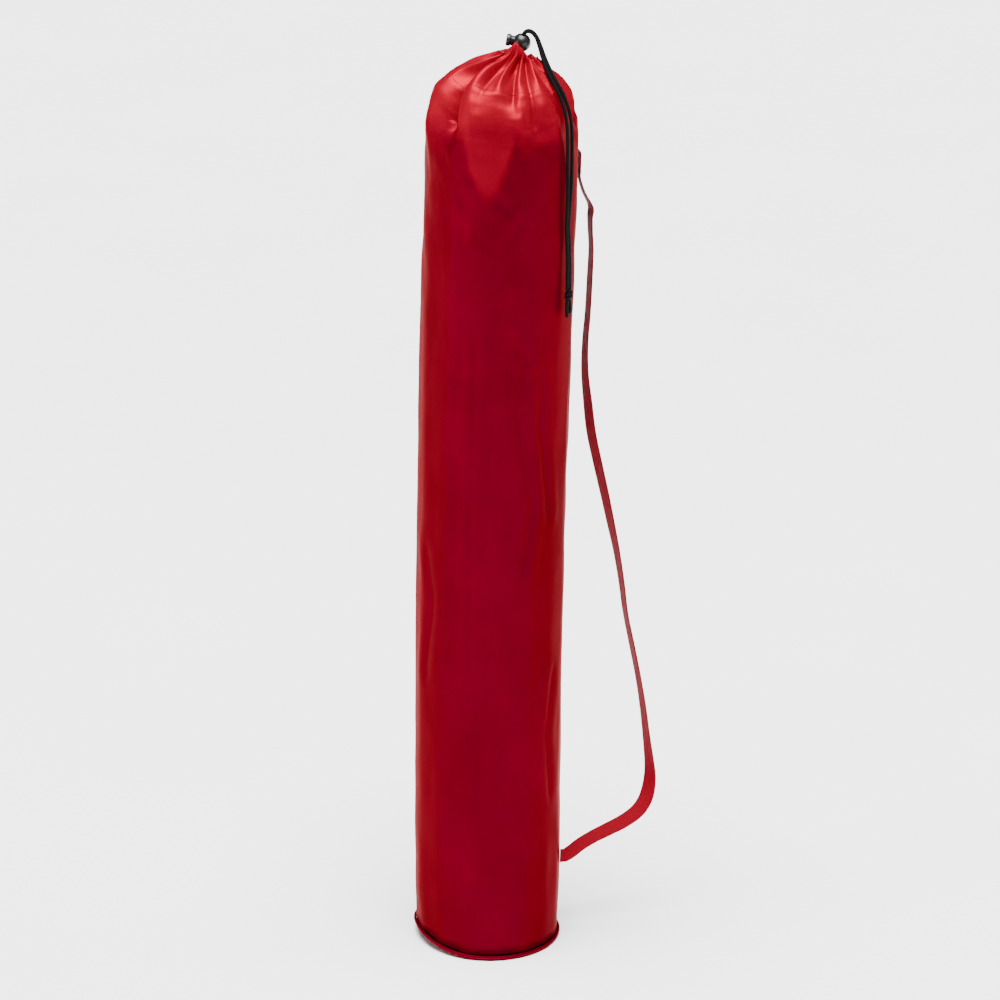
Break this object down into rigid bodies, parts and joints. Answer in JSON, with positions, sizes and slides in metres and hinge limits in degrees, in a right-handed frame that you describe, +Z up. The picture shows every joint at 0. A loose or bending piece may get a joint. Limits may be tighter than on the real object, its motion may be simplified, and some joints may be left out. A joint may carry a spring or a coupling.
{
  "type": "windsock and pole in a drawstring carry bag",
  "caption": "Tall round drawstring carry bag, cinched shut by a sprung cord lock, with a sewn shoulder strap; it holds a windsock on a swivel and a plug-together pole.",
  "frame": {"origin": "centre of the bag's flat bottom, on the floor that the bag stands on", "axes": "+Z up the bag's axis to the neck, +X towards the side where the shoulder strap hangs, -Y is the front"},
  "size_m": [0.2447, 0.15, 0.9413],
  "materials": {
    "red_coated_fabric": "semi-gloss coated weave",
    "red_webbing": "woven, slight sheen",
    "red_thread": "matte",
    "black_cord": "braided, matte",
    "black_plastic": "fine moulded texture",
    "spring_steel": "bright drawn wire",
    "galvanised_steel": "zinc plated",
    "aluminium": "satin drawn tube",
    "orange_fabric": "thin matte nylon",
    "white_line": "braided line"
  },
  "bodies": {
    "bag": {"bag_body": "red_coated_fabric", "bag_bottom": "red_coated_fabric", "bottom_seam_binding": "red_coated_fabric", "side_seam_allowance": "red_coated_fabric", "drawstring_casing": "red_coated_fabric", "shoulder_strap": "red_webbing", "strap_top_stitching": "red_thread", "strap_bottom_bar_tack": "red_thread", "drawstring_loop": "black_cord", "pole_head": "black_plastic", "pole_head_nut": "galvanised_steel", "pole_top_section": "aluminium", "pole_section_1": "aluminium", "pole_section_2": "aluminium", "pole_section_3": "aluminium", "pole_spigot_1": "aluminium", "pole_spigot_2": "aluminium", "pole_spigot_3": "aluminium", "pole_foot_plug_1": "black_plastic", "pole_foot_plug_2": "black_plastic", "pole_foot_plug_3": "black_plastic", "snap_leaf_spring_1": "spring_steel", "snap_leaf_spring_2": "spring_steel", "snap_leaf_spring_3": "spring_steel", "bundle_strap_1": "black_cord", "bundle_strap_2": "black_cord", "ground_spike_rod": "galvanised_steel", "ground_spike_stub": "galvanised_steel"},
    "cord_lock": {"cord_lock_barrel": "black_plastic", "cord_lock_spring": "spring_steel", "drawstring_tail_a": "black_cord", "drawstring_tail_b": "black_cord", "drawstring_knot": "black_cord", "drawstring_end_a": "black_cord", "drawstring_end_b": "black_cord"},
    "cord_lock_button": {"cord_lock_plunger": "black_plastic"},
    "windsock": {"windsock_sleeve": "orange_fabric", "windsock_mouth_hoop": "galvanised_steel", "windsock_swivel": "black_plastic", "windsock_bridle_1": "white_line", "windsock_bridle_2": "white_line", "windsock_bridle_3": "white_line"},
    "snap_1": {"snap_button_1": "galvanised_steel"},
    "snap_2": {"snap_button_2": "galvanised_steel"},
    "snap_3": {"snap_button_3": "galvanised_steel"}
  },
  "joints": [
    {"name": "cord_lock_slide", "type": "slide", "parent": "bag", "child": "cord_lock", "axis": [0.1908, 0, 0.9816], "range_m": [0, 0.04]},
    {"name": "cord_lock_press", "type": "slide", "parent": "cord_lock", "child": "cord_lock_button", "axis": [0.9816, 0, -0.1908], "range_m": [0, 0.003], "stiffness_N_per_m": 500, "springref_m": -0.002, "deforming": ["cord_lock_spring"]},
    {"name": "windsock_spin", "type": "hinge", "parent": "bag", "child": "windsock", "pos_m": [0, 0, 0.8524], "axis": [0, 0, 1], "continuous": true},
    {"name": "snap_press_1", "type": "slide", "parent": "bag", "child": "snap_1", "axis": [-0.5, -0.866, 0], "range_m": [0, 0.0034], "stiffness_N_per_m": 900, "springref_m": -0.002, "deforming": ["snap_leaf_spring_1"]},
    {"name": "snap_press_2", "type": "slide", "parent": "bag", "child": "snap_2", "axis": [1, 0, 0], "range_m": [0, 0.0034], "stiffness_N_per_m": 900, "springref_m": -0.002, "deforming": ["snap_leaf_spring_2"]},
    {"name": "snap_press_3", "type": "slide", "parent": "bag", "child": "snap_3", "axis": [-0.5, 0.866, 0], "range_m": [0, 0.0034], "stiffness_N_per_m": 900, "springref_m": -0.002, "deforming": ["snap_leaf_spring_3"]}
  ]
}
